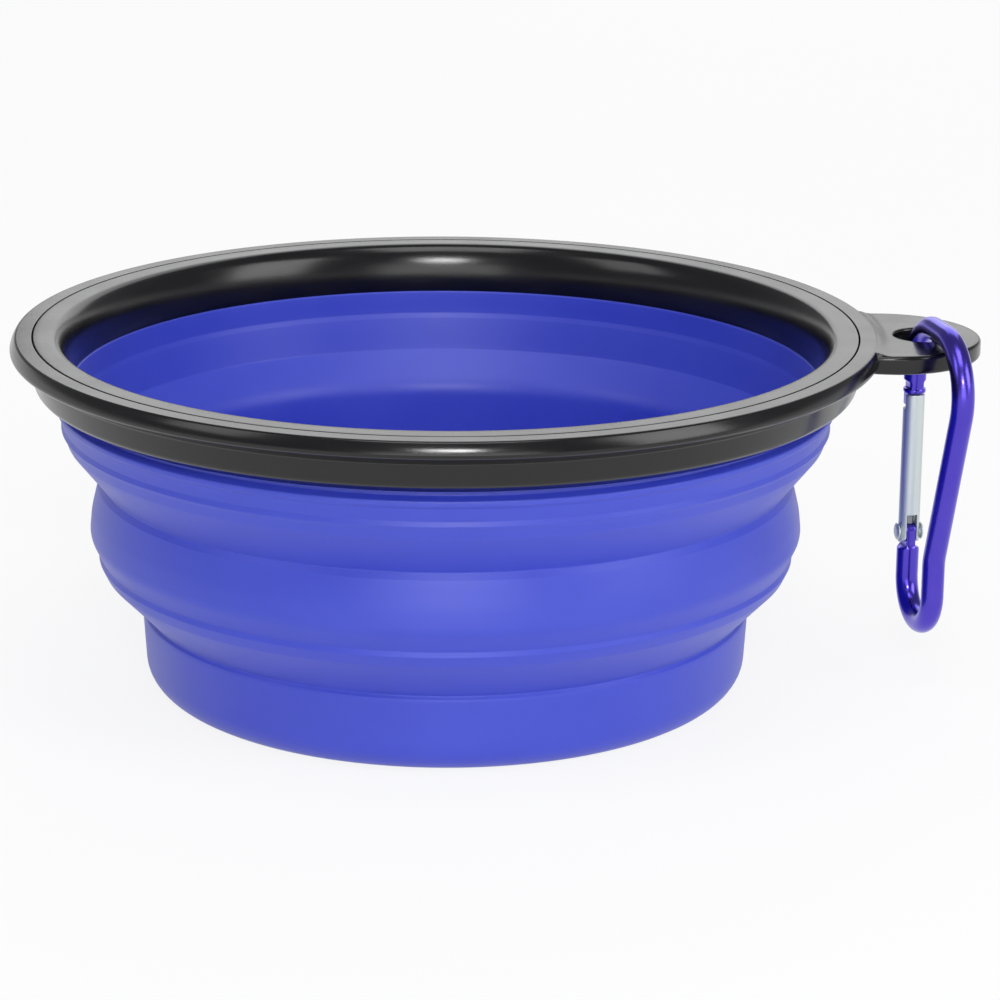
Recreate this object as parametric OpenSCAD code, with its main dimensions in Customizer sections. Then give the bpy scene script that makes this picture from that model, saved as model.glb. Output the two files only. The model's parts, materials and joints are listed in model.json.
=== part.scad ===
// Collapsible silicone bowl: a folding silicone wall hung in a two-piece plastic rim,
// with a hang tab on the rim and a small carabiner through the tab.
// Millimetres. The origin is the centre of the underside, +Z is up, +X points to the hang tab.

/* [Rim] */
// Outside diameter of the rim
rim_d = 130; // [124:1:150]
// Height of the rim's top face
bowl_h = 54.4; // [52:0.2:62]
// Radial width of the outer ring's bead, from the parting groove outwards
bead_w = 3.6; // [3.2:0.1:4.4]
// Height of the bead
bead_h = 3.6; // [3.4:0.1:4.4]
// Height over which the bead's underside slopes out
bead_slope = 2.3; // [1.6:0.1:2.4]
// Height of the skirt below the bead
skirt_h = 4.8; // [4.4:0.1:5.2]
// How far the skirt's top stands back from the bead
skirt_inset = 2.7; // [2.2:0.1:2.8]
// Radial thickness of the skirt's lip
lip_t = 0.5; // [0.4:0.1:0.8]
// Width of the parting groove between the two rings
groove_w = 0.2; // [0.1:0.05:0.4]
// Inside radius lost from the rim's outside to the silicone wall under the lip
rim_inset = 6.5; // [6.2:0.1:7]
// Thickness of the inner ring's leg at its foot
leg_t = 1.9; // [1.5:0.1:2.2]
// How far the inner ring's wall leans outwards from its foot to its top
funnel_lean = 1.3; // [0.6:0.1:1.6]
// Rounding of the bead's edges
bead_round = 1.3; // [0.6:0.1:1.5]

/* [Hang tab] */
// Reach of the tab beyond the rim
tab_reach = 15; // [13:0.5:18]
// Radius of the tab's round outline
tab_r = 14; // [13:0.5:16]
// Thickness of the tab
tab_t = 2.8; // [2.2:0.1:3]
// Height of the tab's underside above the bead's
tab_rise = 0.2; // [0.1:0.1:0.4]
// Diameter of the hole that the carabiner hangs in
hole_d = 8.6; // [8.4:0.1:9.2]
// Distance from the tab's tip to the centre of its hole
hole_inset = 8.7; // [7.6:0.1:9]
// Rounding of the tab's edge
tab_round = 0.6; // [0.4:0.1:1]

/* [Silicone wall] */
// Outside diameter of the base cup at its foot
base_d = 91; // [86:1:93]
// Height of the base cup's wall
cup_h = 12.1; // [10:0.1:13]
// Thickness of the floor
floor_t = 2.2; // [1.8:0.1:3]
// Thickness of the stiff walls
wall_t = 2; // [1.6:0.1:2.4]
// Rounding of the foot
foot_round = 4.6; // [2:0.1:5]
// Inside rounding between floor and wall
floor_round = 3.4; // [1:0.1:4]
// Largest radius of the middle band, measured in from the collar's inside
band_inset = 2; // [1.9:0.05:2.6]
// How far the upper waist stands in from the middle band
waist_inset = 1.9; // [1.2:0.05:2.1]
// Thickness of the middle band at its waist
waist_t = 1.5; // [1.3:0.1:2]
// How far the lower shoulder stands in from the middle band
shoulder_inset = 1.9; // [1.4:0.1:2.4]
// Height of the lower cone
lower_cone_h = 6.2; // [5.6:0.1:7]
// Height of the upper cone
upper_cone_h = 6.2; // [5.6:0.1:7]
// Height of the collar from the upper shoulder to the lip
collar_h = 7.4; // [6.4:0.1:8.4]
// Radius lost from the silicone under the lip to the upper shoulder
collar_taper = 1.7; // [1.4:0.1:2]

/* [Folds] */
// Upright thickness of the upper fold
upper_web = 3; // [2.6:0.1:4]
// Upright thickness of the lower fold
lower_web = 3; // [2.6:0.1:4]
// Radial width of the lower fold, from the base cup to the middle band
lower_run = 4.4; // [3.6:0.1:5.4]
// Clearance between rings that slide past each other
fold_gap = 0.25; // [0.2:0.05:0.35]
// Thickness of the flange that the rim clamps
flange_t = 1.6; // [1.2:0.1:1.8]
// Clearance round the clamped silicone
clamp_gap = 0.1; // [0.05:0.05:0.2]

/* [Carabiner] */
// Length of the carabiner
clip_l = 49.5; // [48:0.5:54]
// Width of the carabiner at its arch
clip_w = 24.2; // [23.6:0.1:25]
// Width of its lower loop
clip_foot_w = 15; // [14:0.5:18]
// Height of the loop's straight leg on the spine's side
leg_h = 4.4; // [3:0.1:6]
// Bend radius where the spine leaves that leg, at the rod's middle
leg_bend_r = 6; // [4:0.5:8]
// Diameter of the rod
rod_d = 3.4; // [3.2:0.1:3.6]
// Bend radius of the arch's corners, at the rod's middle
arch_r = 8; // [7.6:0.1:8.6]
// Turn of the carabiner's plane from the tab's direction
clip_turn = 77; // [72:1:82]
// Clearance between the arch and the tab that it hangs on
hang_gap = 0.3; // [0.2:0.05:0.6]
// Clearance between the carabiner's gate side and the edge of the tab's hole
hole_gap = 0.2; // [0.15:0.05:0.4]

/* [Gate] */
// Diameter of the gate
gate_d = 3.2; // [2.9:0.1:3.3]
// Length of the nose from the arch's bend down to the gate's tip
nose_l = 3.8; // [3:0.1:4.4]
// Height of the rivet above the centre of the lower loop
pivot_rise = 6.7; // [6.2:0.1:7.4]
// Diameter of the rivet
rivet_d = 1.4; // [1.2:0.1:1.6]
// Diameter of the rivet's heads
rivet_head_d = 3.2; // [2.6:0.1:3.4]
// Height of the rivet's heads
rivet_head_h = 0.6; // [0.4:0.1:0.8]
// Thickness of the body's tongue in the gate's fork
tongue_t = 1.4; // [1:0.1:1.5]
// Thickness of the nose's neck
neck_t = 2.2; // [1.8:0.1:2.6]
// Thickness of the lip at the nose's lower end
nose_lip = 0.6; // [0.4:0.1:0.8]
// Length of the nose's latch in the gate's notch
latch_l = 2.1; // [1.6:0.1:2.4]
// Clearance round the nose in the gate's notch
latch_gap = 0.25; // [0.2:0.05:0.3]
// Clearance between tongue and fork
fork_gap = 0.12; // [0.08:0.02:0.16]
// Radial clearance of the rivet in the gate
pin_gap = 0.05; // [0.02:0.01:0.08]
// Diameter of the plunger
plunger_d = 1.4; // [1.2:0.1:1.4]
// Length of the plunger
plunger_l = 3; // [2.5:0.5:5]
// Radial clearance of the plunger in the gate's bore
bore_gap = 0.08; // [0.05:0.01:0.1]
// Length of the spring
spring_l = 5; // [4.6:0.1:9]
// Diameter of the spring's wire
wire_d = 0.25; // [0.2:0.05:0.3]
// Turns of the spring
spring_turns = 8; // [7:1:10]

/* [Hidden] */
$fn = 96;

silicone_blue = "#5A60C6";
rim_black = "#2A2B2F";
anodised_blue = "#4A3CB8";
bare_aluminium = "#B9BEC2";
spring_steel = "#8C9094";

arc_steps = 6;
// Straight rods lap a little way over the bends, a hair thicker, so that the body is one solid
eps = 0.01;
lap = 0.2;

// Steps inside the rim: seat of the flange below the bead, lip and its flare, neck of the silicone
// outside the collar, foot of the inner ring inside the collar and above the lip
ledge_drop = 0.5;
lip_h = 1;
lip_flare = 0.6;
neck_step = 1;
cap_set = 2.4;
cap_lift = 1.2;
// How far the skirt draws in above its lip, and over which height
skirt_draw = 0.9;
skirt_round = 1.2;
// Edge roundings of the two rings
groove_round = 0.2;
cap_edge = 0.3;
crest_round = 0.7;
cap_foot_round = 0.4;

// Rim radii and heights
rim_r = rim_d / 2;
band_in_r = rim_r - bead_w;
cap_r = band_in_r - groove_w;
collar_r = rim_r - rim_inset;
lip_r = collar_r + clamp_gap;
neck_r = collar_r + neck_step;
cap_foot_r = collar_r - cap_set;
leg_r = cap_foot_r + leg_t;
bead_z = bowl_h - bead_h;
skirt_z = bead_z - skirt_h;
ledge_z = bead_z - ledge_drop;
lip_top_z = skirt_z + lip_h;
cap_foot_z = skirt_z + cap_lift;

// Tab, rooted a little way inside the bead
tab_root = 0.4;
tab_z = bead_z + tab_rise;
tab_top_z = tab_z + tab_t;
tab_x = rim_r + tab_reach - tab_r;
hole_x = rim_r + tab_reach - hole_inset;

// Roundings of the silicone wall, from the rim down
collar_round = 6;
up_shoulder_round = 2.4;
waist_round = 2.4;
bulge_round = 3;
low_shoulder_round = 1.6;
band_edge = 2.6;
cup_edge = 1.5;

// Height of the bulge as a share of the middle band's
bulge_share = 0.4;

// Silicone wall: each ring stands inside the one above, and the middle band fills what the folds leave
collar_set = 0.3;
collar_in_r = cap_foot_r - collar_set;
band_r = collar_in_r - band_inset;
waist_r = band_r - waist_inset;
band_in = waist_r - waist_t;
cup_r = band_in - lower_run;
cup_in_r = cup_r - wall_t;
foot_r = base_d / 2;
low_shoulder_r = band_r - shoulder_inset;
low_shoulder_z = cup_h + lower_cone_h;
up_shoulder_r = collar_r - collar_taper;
up_shoulder_z = skirt_z - collar_h;
waist_z = up_shoulder_z - upper_cone_h;
bulge_z = low_shoulder_z + bulge_share * (waist_z - low_shoulder_z);
low_ring_w = (lower_run - 3 * fold_gap) / 2;

// Carabiner, in its own plane: x runs from the gate to the spine, z is up
rod_r = rod_d / 2;
gate_x = -(clip_w - rod_d) / 2;
arch_x = clip_w / 2 - rod_r - arch_r;
loop_r = (clip_foot_w - rod_d) / 2;
loop_x = gate_x + loop_r;
tab_offset = hole_x - tab_x;
bridge_far = -tab_offset * cos(clip_turn) + sqrt(pow(tab_r, 2) - pow(tab_offset * sin(clip_turn), 2));
bridge_near = hole_d / 2;
clip_shift = rod_r + hole_gap - bridge_near - gate_x;
bridge_half = max(bridge_far - clip_shift, clip_shift - bridge_near);
arch_in_r = arch_r - rod_r;
arch_drop = arch_in_r - sqrt(pow(arch_in_r, 2) - pow(max(bridge_half - arch_x, 0), 2));
arch_z = tab_top_z + arch_drop + hang_gap + rod_r - arch_r;
loop_z = arch_z + arch_r - (clip_l - rod_d) + loop_r;
leg_x = loop_x + loop_r;
leg_bend_x = leg_x + leg_bend_r;
leg_top_z = loop_z + leg_h;
lean = atan2(arch_x - leg_bend_x, arch_z - leg_top_z)
     + asin((arch_r + leg_bend_r) / norm([arch_x - leg_bend_x, arch_z - leg_top_z]));

// Reach of the nose's latch past the gate's middle
latch_x = 0.3;
// Tongue: rise above the rivet, half its width, its root in the rod and the rod's end above the loop
tongue_rise = 1.3;
tongue_half = 1.4;
tongue_root = 0.5;
rod_rise = 2.9;
// Fork's slot above the rivet, and the small clearances at the plunger, the spring and the rivet's heads
slot_rise = 2.9;
plunger_gap = 0.06;
spring_gap = 0.03;
head_gap = 0.12;
// The heads of the rivet narrow to this share of their diameter
head_taper = 0.6;

// Gate, from its rivet up to its tip at the nose
gate_r = gate_d / 2;
pivot_z = loop_z + pivot_rise;
tip_z = arch_z - nose_l;
latch_z = tip_z - latch_l;
lip_z = tip_z + latch_gap;
neck_top_z = tip_z + nose_l / 2;
tongue_z = loop_z + rod_rise;
slot_top = pivot_z + slot_rise;
bore_d = plunger_d + 2 * bore_gap;
plunger_z = pivot_z + tongue_rise + plunger_gap;
spring_z = plunger_z + plunger_l + spring_gap;
bore_top = spring_z + spring_l + spring_gap;
rivet_reach = gate_r + head_gap;

// Height of each cone's outside at radius r
function low_cone_z(r) = cup_h + (r - cup_r) * lower_cone_h / (low_shoulder_r - cup_r);
function up_cone_z(r) = waist_z + (r - waist_r) * upper_cone_h / (up_shoulder_r - waist_r);

function unit(v) = v / norm(v);
function turned(v, a) = [v[0] * cos(a) - v[1] * sin(a), v[0] * sin(a) + v[1] * cos(a)];

// Arc that rounds corner q, between neighbours p and s, limited by the shorter side
function corner_arc(p, q, s, radius) =
    let (a = unit(p - q), b = unit(s - q), half = acos(a * b) / 2,
         r = min(radius, 0.48 * tan(half) * min(norm(p - q), norm(s - q))),
         centre = q + unit(a + b) * r / sin(half),
         first = q + a * r / tan(half),
         sweep = -sign(a[0] * b[1] - a[1] * b[0]) * (180 - 2 * half))
    [for (i = [0 : arc_steps]) centre + turned(first - centre, sweep * i / arc_steps)];

function flat(p) = [p[0], p[1]];

// Closed outline whose corners [x, y, radius] are rounded where they name a radius
function rounded(corners) =
    let (n = len(corners))
    [for (i = [0 : n - 1])
        each len(corners[i]) < 3
            ? [corners[i]]
            : corner_arc(flat(corners[(i + n - 1) % n]), flat(corners[i]),
                         flat(corners[(i + 1) % n]), corners[i][2])];

module revolved(corners) {
    rotate_extrude() polygon(rounded(corners));
}

// Slice of a folding web between two radii, cut along the direction it slides in
module web_ring(inner, outer, inner_z, outer_z, web) {
    revolved([[inner, inner_z], [outer, outer_z], [outer, outer_z + web], [inner, inner_z + web]]);
}

// Outer ring of the rim, with the hang tab
module rim_band() {
    color(rim_black)
    difference() {
        union() {
            revolved([
                [lip_r, skirt_z], [lip_r + lip_t, skirt_z],
                [rim_r - skirt_inset - skirt_draw, skirt_z + skirt_round, skirt_round],
                [rim_r - skirt_inset, bead_z], [rim_r, bead_z + bead_slope, bead_round], [rim_r, bowl_h, bead_round],
                [band_in_r, bowl_h, groove_round], [band_in_r, ledge_z], [neck_r + clamp_gap, ledge_z],
                [neck_r + clamp_gap, lip_top_z + lip_flare], [lip_r, lip_top_z]]);
            difference() {
                translate([tab_x, 0, tab_z])
                    revolved([[0, 0], [tab_r, 0, tab_round], [tab_r, tab_t, tab_round], [0, tab_t]]);
                cylinder(r = rim_r - skirt_inset - tab_root, h = 2 * bowl_h);
            }
        }
        translate([hole_x, 0, tab_z - tab_t]) cylinder(d = hole_d, h = 3 * tab_t);
    }
}

// Inner ring of the rim, which clamps the silicone flange
module rim_cap() {
    color(rim_black)
    revolved([
        [cap_foot_r, cap_foot_z, cap_foot_round], [leg_r, cap_foot_z], [leg_r, ledge_z + flange_t],
        [cap_r, ledge_z + flange_t], [cap_r, bowl_h, cap_edge],
        [cap_foot_r + funnel_lean, bowl_h, crest_round]]);
}

// Top of the silicone moulding: the flange in the rim, the collar and its shoulder
module bowl_collar() {
    color(silicone_blue)
    revolved([
        [collar_in_r, up_cone_z(collar_in_r)], [up_shoulder_r, up_shoulder_z, up_shoulder_round],
        [collar_r, skirt_z, collar_round], [collar_r, lip_top_z], [neck_r, lip_top_z + lip_flare],
        [neck_r, ledge_z],
        [cap_r, ledge_z], [cap_r, ledge_z + flange_t], [leg_r + clamp_gap, ledge_z + flange_t],
        [leg_r + clamp_gap, cap_foot_z], [collar_in_r, cap_foot_z]]);
}

// Web that turns inside out between the collar and the middle band
module upper_fold() {
    inner = band_r + fold_gap;
    outer = collar_in_r - fold_gap;
    color(silicone_blue) web_ring(inner, outer, up_cone_z(inner), up_cone_z(outer), upper_web);
}

// Stiff bulged band between the two folds
module middle_band() {
    color(silicone_blue)
    revolved([
        [band_in, low_cone_z(band_in)], [low_shoulder_r, low_shoulder_z, low_shoulder_round],
        [band_r, bulge_z, bulge_round], [waist_r, waist_z, waist_round], [band_r, up_cone_z(band_r)],
        [band_r, up_cone_z(band_r) + upper_web], [band_in, up_cone_z(band_in) + upper_web, band_edge]]);
}

// Outer half of the web between the middle band and the base cup
module lower_fold_outer() {
    outer = band_in - fold_gap;
    inner = outer - low_ring_w;
    color(silicone_blue) web_ring(inner, outer, low_cone_z(inner), low_cone_z(outer), lower_web);
}

// Inner half of the web between the middle band and the base cup
module lower_fold_inner() {
    inner = cup_r + fold_gap;
    outer = inner + low_ring_w;
    color(silicone_blue) web_ring(inner, outer, low_cone_z(inner), low_cone_z(outer), lower_web);
}

// Bottom of the silicone moulding: flat floor and stiff wall
module base_cup() {
    color(silicone_blue)
    revolved([
        [0, 0], [foot_r, 0, foot_round], [cup_r, cup_h], [cup_r, cup_h + lower_web],
        [cup_in_r, low_cone_z(cup_in_r) + lower_web, cup_edge], [foot_r - wall_t, floor_t, floor_round],
        [0, floor_t]]);
}

// Moves children from the carabiner's plane to where it hangs in the tab
module clip_place() {
    translate([hole_x, 0, 0]) rotate([0, 0, -clip_turn]) translate([clip_shift, 0, 0]) children();
}

// Straight stretch of rod between two points [x, z] of the carabiner's plane, lapped at both ends
module rod(p, q) {
    translate([p[0], 0, p[1]]) rotate([0, atan2(q[0] - p[0], q[1] - p[1]), 0]) translate([0, 0, -lap])
        cylinder(d = rod_d + 2 * eps, h = norm(q - p) + 2 * lap);
}

// Bend of rod about the point [x, z], from one angle to another in the carabiner's plane
module bend(centre, radius, from, to) {
    translate([centre[0], 0, centre[1]]) rotate([90, 0, 0]) rotate([0, 0, from])
        rotate_extrude(angle = to - from) translate([radius, 0]) circle(d = rod_d);
}

// Cylinder across the carabiner's plane, through the gate's pivot
module across(d, half) {
    translate([gate_x, 0, pivot_z]) rotate([90, 0, 0]) cylinder(d = d, h = 2 * half, center = true);
}

// Block in the carabiner's plane between two corners [x, z], as thick as given
module plate(low, high, thick) {
    translate([low[0], -thick / 2, low[1]]) cube([high[0] - low[0], thick, high[1] - low[1]]);
}

// End of the rod above the gate: a neck, a lip and a latch that the gate's notch takes
module nose() {
    reach = gate_x - rod_d;
    intersection() {
        translate([gate_x, 0, latch_z]) cylinder(d = rod_d + 2 * eps, h = arch_z + lap - latch_z);
        union() {
            plate([reach, neck_top_z], [gate_x + rod_d, arch_z + lap], 2 * rod_d);
            plate([reach, lip_z + eps], [gate_x + rod_d, neck_top_z + eps], neck_t);
            plate([reach, lip_z], [gate_x + rod_d, lip_z + nose_lip], 2 * rod_d);
            plate([reach, latch_z], [gate_x + latch_x, lip_z + eps], neck_t);
        }
    }
}

// Flattened end of the rod in the gate's fork
module tongue() {
    difference() {
        plate([gate_x - tongue_half, loop_z + tongue_root],
              [gate_x + tongue_half, pivot_z + tongue_rise], tongue_t);
        across(rivet_d, gate_d);
    }
}

// Bent rod of the carabiner
module carabiner_body() {
    spine = [cos(lean), -sin(lean)];
    color(anodised_blue)
    clip_place() {
        nose();
        bend([-arch_x, arch_z], arch_r, 90, 180);
        rod([-arch_x, arch_z + arch_r], [arch_x, arch_z + arch_r]);
        bend([arch_x, arch_z], arch_r, -lean, 90);
        rod([leg_bend_x, leg_top_z] - leg_bend_r * spine, [arch_x, arch_z] + arch_r * spine);
        bend([leg_bend_x, leg_top_z], leg_bend_r, 180 - lean, 180);
        rod([leg_x, loop_z], [leg_x, leg_top_z]);
        bend([loop_x, loop_z], loop_r, -180, 0);
        rod([gate_x, loop_z], [gate_x, tongue_z]);
        tongue();
    }
}

// Gate: forked over the tongue, notched for the nose, bored for the plunger and its spring
module carabiner_gate() {
    color(bare_aluminium)
    clip_place()
    difference() {
        translate([gate_x, 0, 0])
        union() {
            translate([0, 0, pivot_z]) cylinder(d = gate_d, h = tip_z - pivot_z);
            intersection() {
                translate([0, 0, pivot_z - gate_r]) cylinder(d = gate_d, h = gate_r + eps);
                translate([-gate_x, 0, 0]) across(gate_d, gate_d);
            }
        }
        plate([gate_x - gate_d, latch_z - latch_gap], [gate_x + latch_x + latch_gap, tip_z + 1], 2 * gate_d);
        plate([gate_x - gate_d, pivot_z - gate_d], [gate_x + gate_d, slot_top], tongue_t + 2 * fork_gap);
        translate([gate_x, 0, slot_top - 1]) cylinder(d = bore_d, h = bore_top - slot_top + 1);
        across(rivet_d + 2 * pin_gap, gate_d);
    }
}

// Rivet through tongue and fork, with a head on each side
module gate_rivet() {
    color(bare_aluminium)
    clip_place() {
        across(rivet_d, rivet_reach + eps);
        for (side = [-1, 1])
            translate([gate_x, side * rivet_reach, pivot_z]) rotate([-90 * side, 0, 0])
                cylinder(d1 = rivet_head_d, d2 = head_taper * rivet_head_d, h = rivet_head_h);
    }
}

// Coil spring between the plunger and the blind end of the gate's bore
module gate_spring() {
    sides = 6;
    per_turn = 10;
    coil_r = (bore_d - wire_d) / 2 - bore_gap;
    rings = spring_turns * per_turn;
    pitch = (spring_l - wire_d) / spring_turns;
    points = [for (i = [0 : rings], k = [0 : sides - 1])
        let (turn = 360 * i / per_turn, b = 360 * k / sides, r = coil_r + wire_d / 2 * cos(b))
        [r * cos(turn), r * sin(turn), pitch * i / per_turn + wire_d / 2 * (1 + sin(b))]];
    skin = [for (i = [0 : rings - 1], k = [0 : sides - 1])
        let (a = i * sides + k, b = i * sides + (k + 1) % sides)
        each [[a, b, b + sides], [a, b + sides, a + sides]]];
    ends = [[for (k = [sides - 1 : -1 : 0]) k], [for (k = [0 : sides - 1]) rings * sides + k]];
    color(spring_steel)
    clip_place() translate([gate_x, 0, spring_z]) polyhedron(points, concat(skin, ends));
}

// Pin that the spring pushes against the tongue
module gate_plunger() {
    color(spring_steel)
    clip_place() translate([gate_x, 0, plunger_z]) cylinder(d = plunger_d, h = plunger_l);
}

rim_band();
rim_cap();
bowl_collar();
upper_fold();
middle_band();
lower_fold_outer();
lower_fold_inner();
base_cup();
carabiner_body();
carabiner_gate();
gate_rivet();
gate_spring();
gate_plunger();
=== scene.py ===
"""Looks of the collapsible silicone bowl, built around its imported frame.

The silicone wall, the two rim rings, the carabiner's rod and its gate, rivet and spring are modelled in
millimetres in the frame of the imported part, and scaled to metres as their meshes are made.
"""
import json
import math

import bmesh
import bpy
import numpy as np
from mathutils import Matrix, Vector


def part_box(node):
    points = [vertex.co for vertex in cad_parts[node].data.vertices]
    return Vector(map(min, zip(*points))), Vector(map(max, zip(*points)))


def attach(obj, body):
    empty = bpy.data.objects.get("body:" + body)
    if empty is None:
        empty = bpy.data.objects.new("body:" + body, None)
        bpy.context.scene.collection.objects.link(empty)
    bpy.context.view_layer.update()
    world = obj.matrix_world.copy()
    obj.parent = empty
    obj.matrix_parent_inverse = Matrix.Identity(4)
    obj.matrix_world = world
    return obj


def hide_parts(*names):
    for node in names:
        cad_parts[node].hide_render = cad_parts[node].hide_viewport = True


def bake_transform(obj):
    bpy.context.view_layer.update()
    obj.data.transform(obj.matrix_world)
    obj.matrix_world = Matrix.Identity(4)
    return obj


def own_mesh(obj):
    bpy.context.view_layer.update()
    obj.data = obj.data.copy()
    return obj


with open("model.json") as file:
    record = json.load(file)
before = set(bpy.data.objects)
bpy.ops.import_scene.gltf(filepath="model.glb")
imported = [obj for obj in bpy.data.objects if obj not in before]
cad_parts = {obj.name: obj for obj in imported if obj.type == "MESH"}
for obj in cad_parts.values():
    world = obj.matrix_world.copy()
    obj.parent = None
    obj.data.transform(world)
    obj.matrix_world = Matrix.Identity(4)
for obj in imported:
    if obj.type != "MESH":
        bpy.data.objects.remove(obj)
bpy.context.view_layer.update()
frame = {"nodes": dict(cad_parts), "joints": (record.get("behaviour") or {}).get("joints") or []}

MM = 0.001
# Mesh steps: sides of a turned ring, turn of an arc's step, longest step on a straight stretch
ROUND_SIDES = 256
ARC_STEP = math.radians(9)
LONGEST_STEP = 1.25
# A ring smaller than this is one point on the axis
AXIS_R = 1e-6


def corners_of(node):
    """Lowest and highest corner of a CAD node in millimetres, to a hundredth."""
    return [[round(value / MM, 2) for value in corner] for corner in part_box(node)]


def joint(name):
    """The frame's joint of that name."""
    return next(made for made in frame["joints"] if made["name"] == name)


# Sizes from the frame, in millimetres
RING_LOW, RING_HIGH = corners_of("rim_band")
RIM_R = -RING_LOW[0]
LIP_Z = RING_LOW[2]
TOP_Z = RING_HIGH[2]
TAB_TIP_X = RING_HIGH[0]
CAP_FOOT_Z = corners_of("rim_cap")[0][2]
CUP_R = corners_of("base_cup")[1][0]
CLIP_LOW_Z = corners_of("carabiner_body")[0][2]
CLIP_TOP_Z = corners_of("carabiner_body")[1][2]

# Rim: radii of its groove, lip, neck, funnel and leg, heights of its ledge and of the clamped flange's top
GROOVE_OUT_R = RIM_R - 3.3
GROOVE_IN_R = GROOVE_OUT_R - 0.2
LIP_R = RIM_R - 6.4
NECK_R = LIP_R + 0.9
FUNNEL_R = RIM_R - 8.9
LEG_R = FUNNEL_R + 1.9
LEG_FOOT_Z = CAP_FOOT_Z - 0.3
LEDGE_Z = TOP_Z - 4.1
FLANGE_Z = LEDGE_Z + 1.6
CLAMP_GAP = 0.1
GROOVE_EDGE = 0.12

# Hang tab
TAB_R = 14.0
TAB_X = TAB_TIP_X - TAB_R
HOLE_X = TAB_TIP_X - 8.7
HOLE_R = 4.3
TAB_LOW_Z = TOP_Z - 3.4
TAB_TOP_Z = TOP_Z - 0.6
TAB_EDGE = 0.6
HOLE_EDGE = 0.4
TAB_ROOT_R = RIM_R - 3.1

# Silicone wall: radii of the collar and of the middle band, outside and inside
COLLAR_R = LIP_R - 0.1
COLLAR_IN_R = FUNNEL_R - 0.3
BAND_R = COLLAR_IN_R - 2.0
BAND_IN_R = BAND_R - 3.4

# Carabiner: its plane hangs through the tab's hole, u runs from the gate to the spine
SWING = joint("clip_swing")
HINGE = joint("gate_swing")
ALONG = Vector(SWING["axis"])
ACROSS = Vector(HINGE["axis"])
CLIP_MID = Vector((SWING["pos_m"][0], SWING["pos_m"][1], 0)) / MM
PIVOT = Vector(HINGE["pos_m"]) / MM
ROD_R = 1.7
ARCH_R = 8.0
ARCH_U = 2.4
ARCH_Z = CLIP_TOP_Z - ROD_R - ARCH_R
LOOP_R = 5.8
LOOP_Z = CLIP_LOW_Z + ROD_R + LOOP_R
GATE_U = (PIVOT - CLIP_MID).dot(ALONG)
LOOP_U = GATE_U + LOOP_R
LEG_U = LOOP_U + LOOP_R
LEG_TOP_Z = LOOP_Z + 4.4
LEG_BEND_R = 6.0
GATE_R = 1.6
TIP_Z = ARCH_Z - 3.8
LATCH_L = 2.1
NOSE_GAP = 0.25
TONGUE_STEPS = 48

# A limit that leaves the rod round, and the nose upwards from the latch's foot:
# rise, half width in the plane, half thickness, shift outwards
FREE = 9.0
NOSE = [
    (0, 0.75, 0.85, 0.7), (0.1, 0.92, 1.02, 0.7), (0.25, 1.0, 1.1, 0.7), (1.2, 1.0, 1.1, 0.7),
    (LATCH_L + NOSE_GAP, 1.0, 1.1, 0.7), (2.36, 1.75, 1.75, 0), (2.46, FREE, FREE, 0), (2.85, FREE, FREE, 0),
    (2.94, 1.75, 1.75, 0), (2.95, 1.75, 1.1, 0), (3.2, 1.9, 1.1, 0), (3.7, FREE, 1.1, 0),
    (3.95, FREE, 1.15, 0), (4.1, FREE, 1.3, 0), (4.2, FREE, 1.6, 0), (4.3, FREE, 2.2, 0),
    (4.45, FREE, FREE, 0), (5.2, FREE, FREE, 0)]


# Materials

def linear(code):
    """Linear RGBA of an sRGB hex colour."""
    channels = [int(code[i:i + 2], 16) / 255 for i in (1, 3, 5)]
    return [c / 12.92 if c <= 0.04045 else ((c + 0.055) / 1.055) ** 2.4 for c in channels] + [1]


def per(size):
    """Texture scale that repeats a pattern once in so many millimetres."""
    return 1 / (size * MM)


def add(tree, kind, settings=None, inputs=None):
    """Adds a node; an input is a value to set or an output socket to link."""
    made = tree.nodes.new(kind)
    for name, value in (settings or {}).items():
        setattr(made, name, value)
    for name, value in (inputs or {}).items():
        if isinstance(value, bpy.types.NodeSocket):
            tree.links.new(value, made.inputs[name])
        else:
            made.inputs[name].default_value = value
    return made


def start_material(name, constants):
    """New material with one Principled shader; returns material, node tree, shader and object coordinates."""
    made = bpy.data.materials.new(name)
    made.use_nodes = True
    tree = made.node_tree
    shader = tree.nodes["Principled BSDF"]
    for socket, value in constants.items():
        shader.inputs[socket].default_value = value
    coords = add(tree, "ShaderNodeTexCoord").outputs["Object"]
    return made, tree, shader, coords


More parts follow.
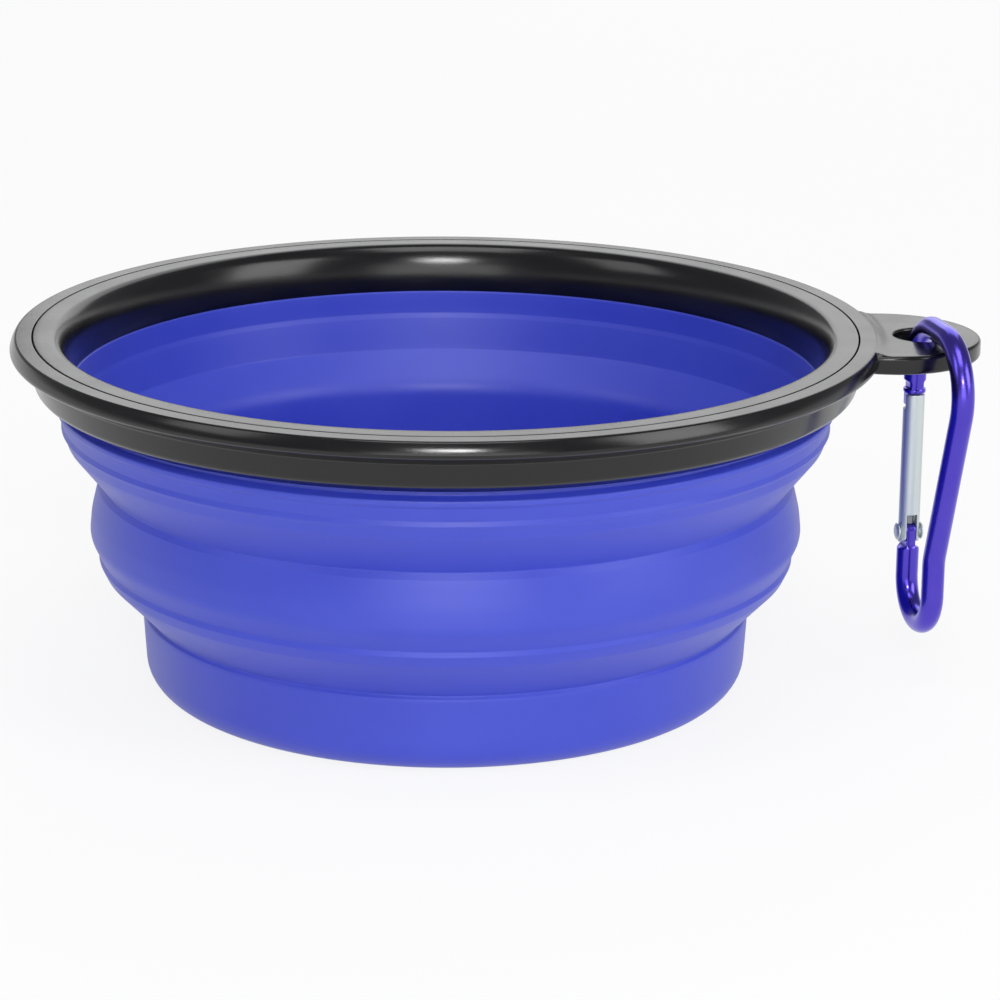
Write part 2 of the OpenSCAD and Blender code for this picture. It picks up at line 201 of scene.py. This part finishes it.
def moulded_silicone():
    """Moulded silicone rubber: soft satin that lets a little light in, with a faint bloom from handling."""
    made, tree, shader, coords = start_material("moulded_silicone", {
        "IOR": 1.41, "Specular IOR Level": 0.9, "Sheen Weight": 0.06, "Sheen Roughness": 0.45,
        "Subsurface Weight": 0.1, "Subsurface Radius": (0.6, 0.7, 1.0), "Subsurface Scale": 2 * MM})
    # Bloom: cloudy patches about 14 mm across
    bloom = add(tree, "ShaderNodeTexNoise", {}, {"Vector": coords, "Scale": per(14), "Detail": 4})
    tint = add(tree, "ShaderNodeMix", {"data_type": "RGBA"},
               {"Factor": bloom.outputs["Fac"], "A": linear("#303FBE"), "B": linear("#3C4CC8")})
    tree.links.new(tint.outputs["Result"], shader.inputs["Base Color"])
    gloss = add(tree, "ShaderNodeMapRange", {}, {
        "Value": bloom.outputs["Fac"], "From Min": 0.3, "From Max": 0.7, "To Min": 0.42, "To Max": 0.5})
    tree.links.new(gloss.outputs["Result"], shader.inputs["Roughness"])
    # Eroded mould texture, about 0.1 mm on the real bowl, drawn at 0.45 mm so that it shows
    grain = add(tree, "ShaderNodeTexNoise", {}, {"Vector": coords, "Scale": per(0.45), "Detail": 2})
    bump = add(tree, "ShaderNodeBump", {},
               {"Strength": 0.12, "Distance": 0.05 * MM, "Height": grain.outputs["Fac"]})
    tree.links.new(bump.outputs["Normal"], shader.inputs["Normal"])
    return made


def moulded_polypropylene():
    """Injection-moulded black polypropylene: glossy satin, with slight flow marks round the ring."""
    made, tree, shader, coords = start_material("moulded_polypropylene", {"IOR": 1.49})
    # Flow marks: low streaks, about 9 mm long and 1.5 mm high
    stretch = add(tree, "ShaderNodeMapping", {}, {"Vector": coords, "Scale": (per(9), per(9), per(1.5))})
    flow = add(tree, "ShaderNodeTexNoise", {}, {"Vector": stretch.outputs["Vector"], "Scale": 1, "Detail": 3})
    tint = add(tree, "ShaderNodeMix", {"data_type": "RGBA"},
               {"Factor": flow.outputs["Fac"], "A": linear("#08080A"), "B": linear("#101012")})
    tree.links.new(tint.outputs["Result"], shader.inputs["Base Color"])
    gloss = add(tree, "ShaderNodeMapRange", {}, {
        "Value": flow.outputs["Fac"], "From Min": 0.3, "From Max": 0.7, "To Min": 0.17, "To Max": 0.23})
    tree.links.new(gloss.outputs["Result"], shader.inputs["Roughness"])
    # Fine mould grain, about 0.08 mm on the real rim, drawn at 0.35 mm so that it shows
    grain = add(tree, "ShaderNodeTexNoise", {}, {"Vector": coords, "Scale": per(0.35), "Detail": 2})
    bump = add(tree, "ShaderNodeBump", {},
               {"Strength": 0.1, "Distance": 0.03 * MM, "Height": grain.outputs["Fac"]})
    tree.links.new(bump.outputs["Normal"], shader.inputs["Normal"])
    return made


def anodised_aluminium():
    """Tumbled and blue-anodised aluminium: deep coloured metal gloss under a clear oxide skin."""
    made, tree, shader, coords = start_material("anodised_aluminium", {
        "Metallic": 1.0, "Coat Weight": 0.3, "Coat Roughness": 0.15})
    # Dye takes unevenly over patches of about 6 mm
    dye = add(tree, "ShaderNodeTexNoise", {}, {"Vector": coords, "Scale": per(6), "Detail": 3})
    tint = add(tree, "ShaderNodeMix", {"data_type": "RGBA"},
               {"Factor": dye.outputs["Fac"], "A": linear("#4C3CBE"), "B": linear("#5C4CCA")})
    tree.links.new(tint.outputs["Result"], shader.inputs["Base Color"])
    gloss = add(tree, "ShaderNodeMapRange", {}, {
        "Value": dye.outputs["Fac"], "From Min": 0.3, "From Max": 0.7, "To Min": 0.2, "To Max": 0.3})
    tree.links.new(gloss.outputs["Result"], shader.inputs["Roughness"])
    # Tumbling dimples of about 0.5 mm
    dimples = add(tree, "ShaderNodeTexNoise", {}, {"Vector": coords, "Scale": per(0.5), "Detail": 1})
    bump = add(tree, "ShaderNodeBump", {},
               {"Strength": 0.08, "Distance": 0.04 * MM, "Height": dimples.outputs["Fac"]})
    tree.links.new(bump.outputs["Normal"], shader.inputs["Normal"])
    return made


def drawn_aluminium():
    """Drawn aluminium, lightly polished: bright and soft, with fine draw lines along its length."""
    made, tree, shader, coords = start_material("drawn_aluminium", {"Metallic": 1.0})
    # Draw lines about 0.25 mm apart, running up the gate
    stretch = add(tree, "ShaderNodeMapping", {},
                  {"Vector": coords, "Scale": (per(0.25), per(0.25), per(12))})
    lines = add(tree, "ShaderNodeTexNoise", {},
                {"Vector": stretch.outputs["Vector"], "Scale": 1, "Detail": 2})
    tint = add(tree, "ShaderNodeMix", {"data_type": "RGBA"},
               {"Factor": lines.outputs["Fac"], "A": linear("#C6D2D2"), "B": linear("#DDE2E4")})
    tree.links.new(tint.outputs["Result"], shader.inputs["Base Color"])
    gloss = add(tree, "ShaderNodeMapRange", {},
                {"Value": lines.outputs["Fac"], "To Min": 0.48, "To Max": 0.58})
    tree.links.new(gloss.outputs["Result"], shader.inputs["Roughness"])
    bump = add(tree, "ShaderNodeBump", {},
               {"Strength": 0.06, "Distance": 0.02 * MM, "Height": lines.outputs["Fac"]})
    tree.links.new(bump.outputs["Normal"], shader.inputs["Normal"])
    return made


def spring_wire():
    """Drawn spring steel: grey and half-bright, with a faint scale of about 0.4 mm."""
    made, tree, shader, coords = start_material("spring_wire", {"Metallic": 1.0, "Roughness": 0.32})
    scale = add(tree, "ShaderNodeTexNoise", {}, {"Vector": coords, "Scale": per(0.4), "Detail": 2})
    tint = add(tree, "ShaderNodeMix", {"data_type": "RGBA"},
               {"Factor": scale.outputs["Fac"], "A": linear("#8A8D90"), "B": linear("#A9ACAF")})
    tree.links.new(tint.outputs["Result"], shader.inputs["Base Color"])
    return made


def seen_directly(tree):
    """Socket that is 1 for camera, mirror and glass rays, and 0 for the rays that light the object."""
    path = add(tree, "ShaderNodeLightPath")
    seen = add(tree, "ShaderNodeMath", {"operation": "MAXIMUM"},
               {0: path.outputs["Is Camera Ray"], 1: path.outputs["Is Glossy Ray"]})
    seen = add(tree, "ShaderNodeMath", {"operation": "MAXIMUM"},
               {0: seen.outputs["Value"], 1: path.outputs["Is Transmission Ray"]})
    return seen.outputs["Value"]


def studio_white(name, glow):
    """White paper; the share that glows is seen by camera, mirror and glass rays alone and lights nothing."""
    made, tree, shader, coords = start_material(name, {"Roughness": 0.9})
    # Paper fibres, drawn as clouds of about 60 mm so that they show
    fibres = add(tree, "ShaderNodeTexNoise", {}, {"Vector": coords, "Scale": per(60)})
    tint = add(tree, "ShaderNodeMix", {"data_type": "RGBA"},
               {"Factor": fibres.outputs["Fac"], "A": linear("#F3F3F3"), "B": linear("#F7F7F7")})
    tree.links.new(tint.outputs["Result"], shader.inputs["Base Color"])
    share = add(tree, "ShaderNodeMath", {"operation": "MULTIPLY"}, {0: seen_directly(tree), 1: glow})
    white = add(tree, "ShaderNodeEmission", {}, {"Color": (1, 1, 1, 1), "Strength": 1})
    mixed = add(tree, "ShaderNodeMixShader", {},
                {0: share.outputs["Value"], 1: shader.outputs["BSDF"], 2: white.outputs["Emission"]})
    tree.links.new(mixed.outputs["Shader"], tree.nodes["Material Output"].inputs["Surface"])
    return made


# Outlines and meshes

def corner_arc(before, corner, after, radius):
    """Points of the arc that rounds a corner, limited by the shorter of its two sides."""
    p, q, s = (Vector(point[:2]) for point in (before, corner, after))
    a, b = (p - q).normalized(), (s - q).normalized()
    half = math.acos(max(-1, min(1, a.dot(b)))) / 2
    straight = math.radians(89.5)
    if half > straight:
        return [q]
    radius = min(radius, 0.49 * math.tan(half) * min((p - q).length, (s - q).length))
    centre = q + (a + b).normalized() * (radius / math.sin(half))
    first = q + a * (radius / math.tan(half)) - centre
    sweep = math.copysign(math.pi - 2 * half, -(a.x * b.y - a.y * b.x))
    steps = max(2, math.ceil(abs(sweep) / ARC_STEP))
    return [centre + Matrix.Rotation(sweep * i / steps, 2) @ first for i in range(steps + 1)]


def rounded(corners, closed):
    """Outline [r, z] whose corners [r, z, radius] are rounded, with long sides split up."""
    points = []
    for i, corner in enumerate(corners):
        at_end = not closed and i in (0, len(corners) - 1)
        if len(corner) < 3 or at_end:
            points.append(Vector(corner[:2]))
        else:
            points += corner_arc(corners[i - 1], corner, corners[(i + 1) % len(corners)], corner[2])
    outline = []
    for i, point in enumerate(points):
        outline.append(point)
        if i + 1 < len(points) or closed:
            following = points[(i + 1) % len(points)]
            parts = math.ceil((following - point).length / LONGEST_STEP)
            outline += [point.lerp(following, k / parts) for k in range(1, parts)]
    return outline


def dress(piece, material, sharp=40):
    """Gives a piece its one material and smooth shading, but for edges sharper than an angle in degrees."""
    piece.data.materials.clear()
    piece.data.materials.append(material)
    piece.data.shade_smooth()
    piece.data.set_sharp_from_angle(angle=math.radians(sharp))


def mesh_piece(name, vertices, faces, material, sharp=40):
    """Object from points in millimetres, dressed in its material."""
    mesh = bpy.data.meshes.new(name)
    mesh.from_pydata([Vector(v) * MM for v in vertices], [], faces)
    work = bmesh.new()
    work.from_mesh(mesh)
    bmesh.ops.remove_doubles(work, verts=work.verts, dist=1e-7)
    bmesh.ops.recalc_face_normals(work, faces=work.faces)
    work.to_mesh(mesh)
    work.free()
    made = bpy.data.objects.new(name, mesh)
    bpy.context.scene.collection.objects.link(made)
    dress(made, material, sharp)
    return made


def lathe(name, corners, material, closed=True, sides=ROUND_SIDES, place=Matrix.Identity(4)):
    """Turns an outline about the z axis; an open outline starts and ends on that axis."""
    outline = rounded(corners, closed)
    vertices, rings = [], []
    for r, z in outline:
        count = 1 if r < AXIS_R else sides
        rings.append([len(vertices) + k for k in range(count)])
        for k in range(count):
            turn = 2 * math.pi * k / count
            vertices.append(place @ Vector((r * math.cos(turn), r * math.sin(turn), z)))
    faces = []
    for i in range(len(rings) if closed else len(rings) - 1):
        low, high = rings[i], rings[(i + 1) % len(rings)]
        for k in range(sides):
            after = k + 1
            face = [low[k % len(low)], low[after % len(low)], high[after % len(high)], high[k % len(high)]]
            faces.append(list(dict.fromkeys(face)))
    return mesh_piece(name, vertices, faces, material)


def tube_faces(rings, sides):
    """Faces of a tube with so many rings of so many points, and of its two ends."""
    skin = []
    for start in range(0, (rings - 1) * sides, sides):
        for k in range(sides):
            after = (k + 1) % sides
            skin.append([start + k, start + after, start + sides + after, start + sides + k])
    return skin + [list(range(sides)), list(range((rings - 1) * sides, rings * sides))]


def clip_point(u, z, n=0.0):
    """Point of the carabiner's plane, n millimetres to its side."""
    return CLIP_MID + ALONG * u + ACROSS * n + Vector((0, 0, z))


def prism(name, outline, half, material):
    """Outline [u, z] of the carabiner's plane, made as thick as given on both sides of it."""
    vertices = [clip_point(u, z, side * half) for side in (-1, 1) for u, z in outline]
    count = len(outline)
    faces = [[i, (i + 1) % count, count + (i + 1) % count, count + i] for i in range(count)]
    faces += [list(range(count)), list(range(count, 2 * count))]
    return mesh_piece(name, vertices, faces, material)


def box_outline(low, high):
    """Corners of a rectangle from its lowest and highest one."""
    return [(low[0], low[1]), (high[0], low[1]), (high[0], high[1]), (low[0], high[1])]


def apply_step(piece, step):
    """Applies a modifier to its piece."""
    bpy.context.view_layer.objects.active = piece
    bpy.ops.object.modifier_apply(modifier=step.name)


def boolean(piece, tool, operation):
    """Applies a boolean with a tool piece and deletes the tool."""
    step = piece.modifiers.new("step", "BOOLEAN")
    step.operation = operation
    step.solver = "EXACT"
    step.object = tool
    apply_step(piece, step)
    bpy.data.objects.remove(tool)


def soften(piece, width):
    """Rounds the edges that are left sharp."""
    step = piece.modifiers.new("step", "BEVEL")
    step.width = width * MM
    step.segments = 2
    step.limit_method = "ANGLE"
    step.angle_limit = math.radians(35)
    apply_step(piece, step)


def even_shading(piece):
    """Lets the large faces set the shading beside the seams that a boolean leaves."""
    step = piece.modifiers.new("step", "WEIGHTED_NORMAL")
    step.keep_sharp = True
    apply_step(piece, step)


# Silicone

def silicone_wall(material):
    """The whole moulding in one skin: base cup, two folds, middle band, collar and clamped flange."""
    outline = [
        # Underside with its gate mark and shallow recess, then the rounded foot and the cup's wall
        [0, 0.25], [2.6, 0.25, 0.15], [2.9, 0.45, 0.15], [36.5, 0.45, 0.5], [37.2, 0, 0.5],
        [CUP_R - 0.5, 0, 4.6], [CUP_R + 0.15, 11.2, 0.4], [CUP_R + 0.1, 11.6, 0.2],
        # Lower fold up to the lower shoulder
        [CUP_R - 0.3, 12.1, 0.25], [51.8, 18.4, 1.0],
        # Middle band: ridge, soft crease, bulge and the ledge under the upper fold
        [52.6, 20.1, 0.25], [52.35, 20.9, 0.4], [BAND_R + 0.05, 24.0, 3.0], [53.5, 27.2, 9.0],
        [52.5, 31.3, 0.3], [51.9, 32.3, 0.25],
        # Upper fold, shoulder, ridge line, bead and the recess under the rim's lip
        [56.85, 38.5, 1.6], [57.4, 40.0, 0.9], [57.75, 40.55, 0.25], [57.5, 41.3, 0.4], [57.95, 43.2, 0.35],
        [COLLAR_R - 0.05, 43.7, 0.4], [COLLAR_R - 0.05, 44.4, 0.35], [COLLAR_R - 1.2, 44.9, 0.3],
        [COLLAR_R - 1.2, 45.9, 0.3], [COLLAR_R - 0.05, 46.4], [COLLAR_R - 0.05, LIP_Z + 1.0],
        # Flange in the rim
        [NECK_R, LIP_Z + 1.6], [NECK_R, LEDGE_Z], [GROOVE_IN_R - CLAMP_GAP, LEDGE_Z, 0.2],
        [GROOVE_IN_R - CLAMP_GAP, FLANGE_Z - 0.05, 0.2], [LEG_R + CLAMP_GAP, FLANGE_Z - 0.05, 0.2],
        [LEG_R + CLAMP_GAP, LEG_FOOT_Z],
        # Inside of the collar, hinge line, upper fold, edge of the middle band
        [COLLAR_IN_R + 0.1, LEG_FOOT_Z, 0.2], [COLLAR_IN_R, 43.3, 0.6], [COLLAR_IN_R - 0.25, 42.5, 0.5],
        [COLLAR_IN_R - 1.2, 37.4, 0.5], [BAND_IN_R, 32.1, 4.5],
        # Inside of the middle band, lower fold, base cup and floor
        [BAND_IN_R, 20.0, 1.6], [CUP_R - 2.0, 13.1, 0.9], [CUP_R - 2.5, 2.2, 3.4], [0, 2.2]]
    wall = lathe("silicone_wall", outline, material, closed=False)
    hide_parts("bowl_collar", "upper_fold", "middle_band", "lower_fold_outer", "lower_fold_inner",
                "base_cup")
    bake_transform(wall)


# Rim

def rim_outer_ring(material):
    """Outer ring: lip, skirt, bead and the hang tab with its hole."""
    ring = lathe("rim_outer_ring", [
        # Lip and skirt
        [LIP_R, LIP_Z, 0.12], [LIP_R + 0.6, LIP_Z, 0.25], [RIM_R - 3.6, LIP_Z + 1.2, 1.3],
        [RIM_R - 2.75, TOP_Z - 3.75, 0.35],
        # Bead with its sloped underside and its side that leans in towards the top
        [RIM_R + 0.1, TOP_Z - 2.15, 0.7], [RIM_R - 0.24, TOP_Z - 0.95, 3.4], [RIM_R - 0.78, TOP_Z, 0.5],
        # Parting groove, ledge and neck
        [GROOVE_OUT_R, TOP_Z, GROOVE_EDGE], [GROOVE_OUT_R, LEDGE_Z], [NECK_R + CLAMP_GAP, LEDGE_Z],
        [NECK_R + CLAMP_GAP, LIP_Z + 1.6], [LIP_R, LIP_Z + 1.0]], material)
    boolean(ring, hang_tab(material), "UNION")
    dress(ring, material)
    even_shading(ring)
    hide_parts("rim_band")
    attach(ring, "rim")


def hang_tab(material):
    """Round tab with a hole, rounded edges and a fillet against the bead, rooted inside the ring."""
    turns, flat_steps, edge_steps = 128, 18, 5
    quarter = [math.pi / 2 * k / edge_steps for k in range(edge_steps + 1)]
    vertices = []
    for i in range(turns):
        turn = 2 * math.pi * i / turns
        way = Vector((math.cos(turn), math.sin(turn)))
        inner, outer = HOLE_R + HOLE_EDGE, tab_reach(way) - TAB_EDGE
        # Upper half of the section, from the hole outwards: distance and drop below the top face
        upper = [(HOLE_R + HOLE_EDGE * (1 - math.cos(a)), HOLE_EDGE * (1 - math.sin(a))) for a in quarter]
        upper += [(inner + (outer - inner) * k / flat_steps, 0) for k in range(1, flat_steps)]
        upper += [(outer + TAB_EDGE * math.sin(a), TAB_EDGE * (1 - math.cos(a))) for a in quarter]
        loop = [(d, TAB_TOP_Z - drop) for d, drop in upper]
        loop += [(d, TAB_LOW_Z + drop) for d, drop in reversed(upper)]
        for d, z in loop:
            spot = Vector((HOLE_X, 0)) + way * d
            lift = root_fillet(spot.length) if z > TAB_TOP_Z - 0.01 else 0
            vertices.append((spot.x, spot.y, z + lift))
    count = len(vertices) // turns
    faces = []
    for i in range(turns):
        for k in range(count):
            a, b = i * count, (i + 1) % turns * count
            faces.append([a + k, a + (k + 1) % count, b + (k + 1) % count, b + k])
    return mesh_piece("hang_tab", vertices, faces, material)


def tab_reach(way):
    """Distance from the hole's centre to the tab's outline, or to the root inside the rim."""
    offset = HOLE_X - TAB_X
    disc = -offset * way.x + math.sqrt(TAB_R ** 2 - (offset * way.y) ** 2)
    inside = TAB_ROOT_R ** 2 - (HOLE_X * way.y) ** 2
    if way.x < 0 and inside > 0:
        return min(disc, -HOLE_X * way.x - math.sqrt(inside))
    return disc


def root_fillet(radius):
    """Rise of the tab's top face where it runs into the bead."""
    rise, run, start_r = TOP_Z - TAB_TOP_Z - 0.06, 2.2, RIM_R + 1.2
    share = max(0, min(1, (start_r - radius) / run))
    return rise * share * share * (3 - 2 * share)


def rim_inner_ring(material):
    """Inner ring: its funnel wall bellies out to the top in a quarter of an ellipse."""
    belly_w, belly_foot_z, crest_z, steps = 2.6, CAP_FOOT_Z + 0.2, TOP_Z - 0.04, 16
    turns = [math.pi / 2 * k / steps for k in range(steps, -1, -1)]
    belly = [[FUNNEL_R + belly_w * (1 - math.cos(a)), belly_foot_z + (crest_z - belly_foot_z) * math.sin(a)]
             for a in turns]
    ring = lathe("rim_inner_ring", belly + [
        [FUNNEL_R, LEG_FOOT_Z, 0.2], [LEG_R, LEG_FOOT_Z, 0.1], [LEG_R, FLANGE_Z],
        [GROOVE_IN_R, FLANGE_Z], [GROOVE_IN_R, TOP_Z, GROOVE_EDGE]], material)
    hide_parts("rim_cap")
    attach(ring, "rim")


# Carabiner

def clip_path():
    """Middle line [u, z] of the rod: nose, arch, spine, loop and, in short steps, the tongue."""
    bend_u = LEG_U + LEG_BEND_R
    gap = Vector((ARCH_U - bend_u, ARCH_Z - LEG_TOP_Z))
    lean = math.atan2(gap.x, gap.y) + math.asin((ARCH_R + LEG_BEND_R) / gap.length)

    def bend(u, z, radius, start, end, steps):
        angles = [start + (end - start) * k / steps for k in range(steps + 1)]
        return [Vector((u + radius * math.cos(a), z + radius * math.sin(a))) for a in angles]

    def run(start, end, steps):
        return [Vector(start).lerp(Vector(end), k / steps) for k in range(1, steps)]

    latch_z, tongue_end_z = TIP_Z - LATCH_L, PIVOT.z + 1.5
    points = [Vector((GATE_U, latch_z + rise)) for rise, *sizes in NOSE]
    points += bend(-ARCH_U, ARCH_Z, ARCH_R, math.pi, math.pi / 2, 22)
    points += bend(ARCH_U, ARCH_Z, ARCH_R, math.pi / 2, -lean, 28)
    knee = bend(bend_u, LEG_TOP_Z, LEG_BEND_R, math.pi - lean, math.pi, 10)
    foot = bend(LOOP_U, LOOP_Z, LOOP_R, 0, -math.pi, 44)
    points += run(points[-1], knee[0], 14) + knee + run(knee[-1], foot[0], 5) + foot
    return points + run(foot[-1], (GATE_U, tongue_end_z), TONGUE_STEPS)


def pressed(value, limit):
    """A coordinate of the round rod, held back at a limit with a soft edge."""
    edge = 8
    return math.copysign((max(abs(value), 1e-6) ** -edge + limit ** -edge) ** (-1 / edge), value)


def carabiner_rod(material):
    """Bent rod with a latch, a lip and a flat neck at the gate's tip and a flat tongue in its fork."""
    path = clip_path()
    sides = 48
    tongue_r, tongue_half, press_start, press_run = 1.5, 0.7, 3.3, 1.2
    vertices = []
    for i, spot in enumerate(path):
        before, after = path[max(i - 1, 0)], path[min(i + 1, len(path) - 1)]
        along = (after - before).normalized()
        side = Vector((-along.y, along.x))
        in_plane, across, shift = NOSE[i][1:] if i < len(NOSE) else (FREE, FREE, 0)
        if i > len(path) - TONGUE_STEPS:
            # The rod is pressed flat inside the fork and ends in a round
            press = max(0.1, min(1, (spot.y - PIVOT.z + press_start) / press_run))
            tip = max(0, (spot.y - PIVOT.z) / tongue_r)
            in_plane = tongue_r / press * math.sqrt(max(0.02, 1 - tip ** 2))
            across = tongue_half / press ** 2
        for k in range(sides):
            turn = 2 * math.pi * k / sides
            point = spot + side * (pressed(ROD_R * math.cos(turn), in_plane) + shift)
            vertices.append(clip_point(point.x, point.y, pressed(ROD_R * math.sin(turn), across)))
    rod = mesh_piece("carabiner_rod", vertices, tube_faces(len(path), sides), material, sharp=50)
    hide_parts("carabiner_body")
    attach(rod, "clip")


def gate_tube(material):
    """Gate: round bar forked over the tongue, notched for the nose and bored for its plunger and spring."""
    low, fork_top, fork_half = PIVOT.z - GATE_R, PIVOT.z + 2.9, 0.82
    notch_z, notch_u = TIP_Z - LATCH_L - NOSE_GAP, GATE_U + 0.55
    bore_r, bore_low, bore_top = 0.78, fork_top - 1, PIVOT.z + 9.42
    past, wide = 3, 2
    place = Matrix.Translation(clip_point(GATE_U, 0))
    gate = lathe("gate_tube", [[0, low], [GATE_R, low], [GATE_R, TIP_Z, 0.25], [0, TIP_Z]], material,
                 closed=False, sides=48, place=place)
    # The foot is rounded about the rivet, a hair outside the bar so that the two skins don't coincide
    foot_r, foot_steps, knee_z = 1.001 * GATE_R, 24, PIVOT.z + 0.3
    round_foot = [(GATE_U + foot_r * math.cos(a), PIVOT.z + foot_r * math.sin(a))
                  for a in (math.pi * (1 + k / foot_steps) for k in range(foot_steps + 1))]
    round_foot += [(GATE_U + wide, knee_z), (GATE_U + wide, TIP_Z + wide), (GATE_U - wide, TIP_Z + wide),
                   (GATE_U - wide, knee_z)]
    boolean(gate, prism("foot", round_foot, past, material), "INTERSECT")
    slot = box_outline((GATE_U - past, low - 1), (GATE_U + past, fork_top))
    boolean(gate, prism("slot", slot, fork_half, material), "DIFFERENCE")
    notch = box_outline((GATE_U - past, notch_z), (notch_u, TIP_Z + 1))
    boolean(gate, prism("notch", notch, past, material), "DIFFERENCE")
    bore = lathe("bore", [[0, bore_low], [bore_r, bore_low], [bore_r, bore_top], [0, bore_top]],
                 material, closed=False, sides=24, place=place)
    boolean(gate, bore, "DIFFERENCE")
    soften(gate, 0.12)
    dress(gate, material, 30)
    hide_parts("carabiner_gate")
    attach(gate, "gate")


def rivet(material):
    """Rivet through fork and tongue with a domed head on each side."""
    seat, head_r, head_h, shank_r = GATE_R + 0.12, 1.3, 0.42, 0.7
    half = [[shank_r, 0], [shank_r, seat, 0.1], [head_r, seat, 0.12], [head_r, seat + 0.2, 0.25],
            [0.75, seat + head_h, 1.0], [0, seat + head_h]]
    outline = [[corner[0], -corner[1]] + corner[2:] for corner in reversed(half)] + half[1:]
    place = Matrix.Translation(PIVOT) @ ACROSS.to_track_quat("Z", "Y").to_matrix().to_4x4()
    made = lathe("gate_rivet_domed", outline, material, closed=False, sides=40, place=place)
    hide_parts("gate_rivet")
    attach(made, "clip")


def coil_spring(material):
    """Coil spring in the gate's bore, as long as the CAD spring and carried with the gate."""
    low, high = corners_of("gate_spring")
    turns, per_turn, sides, wire_r = 8, 24, 10, 0.125
    steps = turns * per_turn
    coil_r = (high[0] - low[0]) / 2 - wire_r
    first, rise = low[2] + wire_r, high[2] - low[2] - 2 * wire_r
    vertices = []
    for i in range(steps + 1):
        spin = 2 * math.pi * i / per_turn
        way = ALONG * math.cos(spin) + ACROSS * math.sin(spin)
        middle = clip_point(GATE_U, first + rise * i / steps) + way * coil_r
        for k in range(sides):
            turn = 2 * math.pi * k / sides
            vertices.append(middle + wire_r * (way * math.cos(turn) + Vector((0, 0, math.sin(turn)))))
    spring = mesh_piece("coil_spring", vertices, tube_faces(steps + 1, sides), material)
    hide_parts("gate_spring")
    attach(spring, "gate")
    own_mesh(spring)


# Stage, light and camera

def stage():
    """White floor that reaches to the horizon."""
    floor_glow, half = 0.86, 30000
    corners = [(-half, -half, 0), (half, -half, 0), (half, half, 0), (-half, half, 0)]
    mesh_piece("studio_floor", corners, [[0, 1, 2, 3]], studio_white("studio_white", floor_glow))


def softbox(name, azimuth, elevation, distance, size, watts):
    """Rectangular soft light aimed at the bowl, its azimuth counted from the camera's side to the right."""
    middle = Vector((0, 0, 0.04))
    turn, rise = math.radians(azimuth), math.radians(elevation)
    way = Vector((math.sin(turn) * math.cos(rise), -math.cos(turn) * math.cos(rise), math.sin(rise)))
    lamp = bpy.data.lights.new(name, "AREA")
    lamp.shape = "RECTANGLE"
    lamp.size, lamp.size_y = size
    lamp.energy = watts
    made = bpy.data.objects.new(name, lamp)
    made.location = middle + distance * way
    made.visible_camera = False
    made.rotation_euler = (-way).to_track_quat("-Z", "Y").to_euler()
    bpy.context.scene.collection.objects.link(made)


def studio_room():
    """Even grey world, with a pale horizon that meets the floor and is seen but lights nothing."""
    room = bpy.data.worlds.new("studio_room")
    room.use_nodes = True
    tree = room.node_tree
    grey = tree.nodes["Background"]
    grey.inputs["Color"].default_value = linear("#8C8C8E")
    pale = add(tree, "ShaderNodeBackground", {}, {"Color": linear("#F2F2F2")})
    way = add(tree, "ShaderNodeTexCoord").outputs["Generated"]
    rise = add(tree, "ShaderNodeSeparateXYZ", {}, {"Vector": way}).outputs["Z"]
    full, gone = math.sin(math.radians(4)), math.sin(math.radians(10))
    fade = add(tree, "ShaderNodeMapRange", {},
               {"Value": rise, "From Min": full, "From Max": gone, "To Min": 1, "To Max": 0})
    share = add(tree, "ShaderNodeMath", {"operation": "MULTIPLY"},
                {0: seen_directly(tree), 1: fade.outputs["Result"]})
    mixed = add(tree, "ShaderNodeMixShader", {},
                {0: share.outputs["Value"], 1: grey.outputs["Background"], 2: pale.outputs["Background"]})
    tree.links.new(mixed.outputs["Shader"], tree.nodes["World Output"].inputs["Surface"])
    return room


def light():
    """Soft studio light: a compact key over the camera, fills round the bowl and a panel above it."""
    # Azimuth and elevation in degrees, distance and size in metres, watts
    softbox("key_light", 2.3, 26, 0.85, (0.17, 0.1), 2.0)
    softbox("front_light", 3, 9, 0.9, (0.66, 0.3), 1.2)
    softbox("right_light", 62, 25, 1.1, (0.5, 0.6), 3.5)
    softbox("left_light", -65, 35, 1.1, (0.4, 0.5), 1.3)
    softbox("back_light", 171, 33, 1.05, (0.8, 0.85), 2.9)
    softbox("top_light", 0, 70, 1.1, (0.6, 0.6), 3.6)
    bpy.context.scene.world = studio_room()


def camera():
    """The photograph's view: 16.5 degrees down on the bowl, a little rolled, the tab to the right."""
    down, roll = math.radians(16.49), math.radians(0.45)
    lens = bpy.data.cameras.new("photo_view")
    lens.sensor_width = 36
    lens.lens = 126.7
    made = bpy.data.objects.new("photo_view", lens)
    made.location = Vector((8.2, -513, 179.3)) * MM
    tilt = Matrix.Rotation(math.pi / 2 - down, 4, "X") @ Matrix.Rotation(roll, 4, "Z")
    made.rotation_euler = tilt.to_euler()
    bpy.context.scene.collection.objects.link(made)
    bpy.context.scene.camera = made


camera()
light()
stage()
bpy.context.scene.view_settings.view_transform = "Standard"

silicone = moulded_silicone()
plastic = moulded_polypropylene()
blue_metal = anodised_aluminium()
bright_metal = drawn_aluminium()
steel = spring_wire()

silicone_wall(silicone)
rim_outer_ring(plastic)
rim_inner_ring(plastic)
carabiner_rod(blue_metal)
gate_tube(bright_metal)
rivet(bright_metal)
coil_spring(steel)
dress(frame["nodes"]["gate_plunger"], steel)
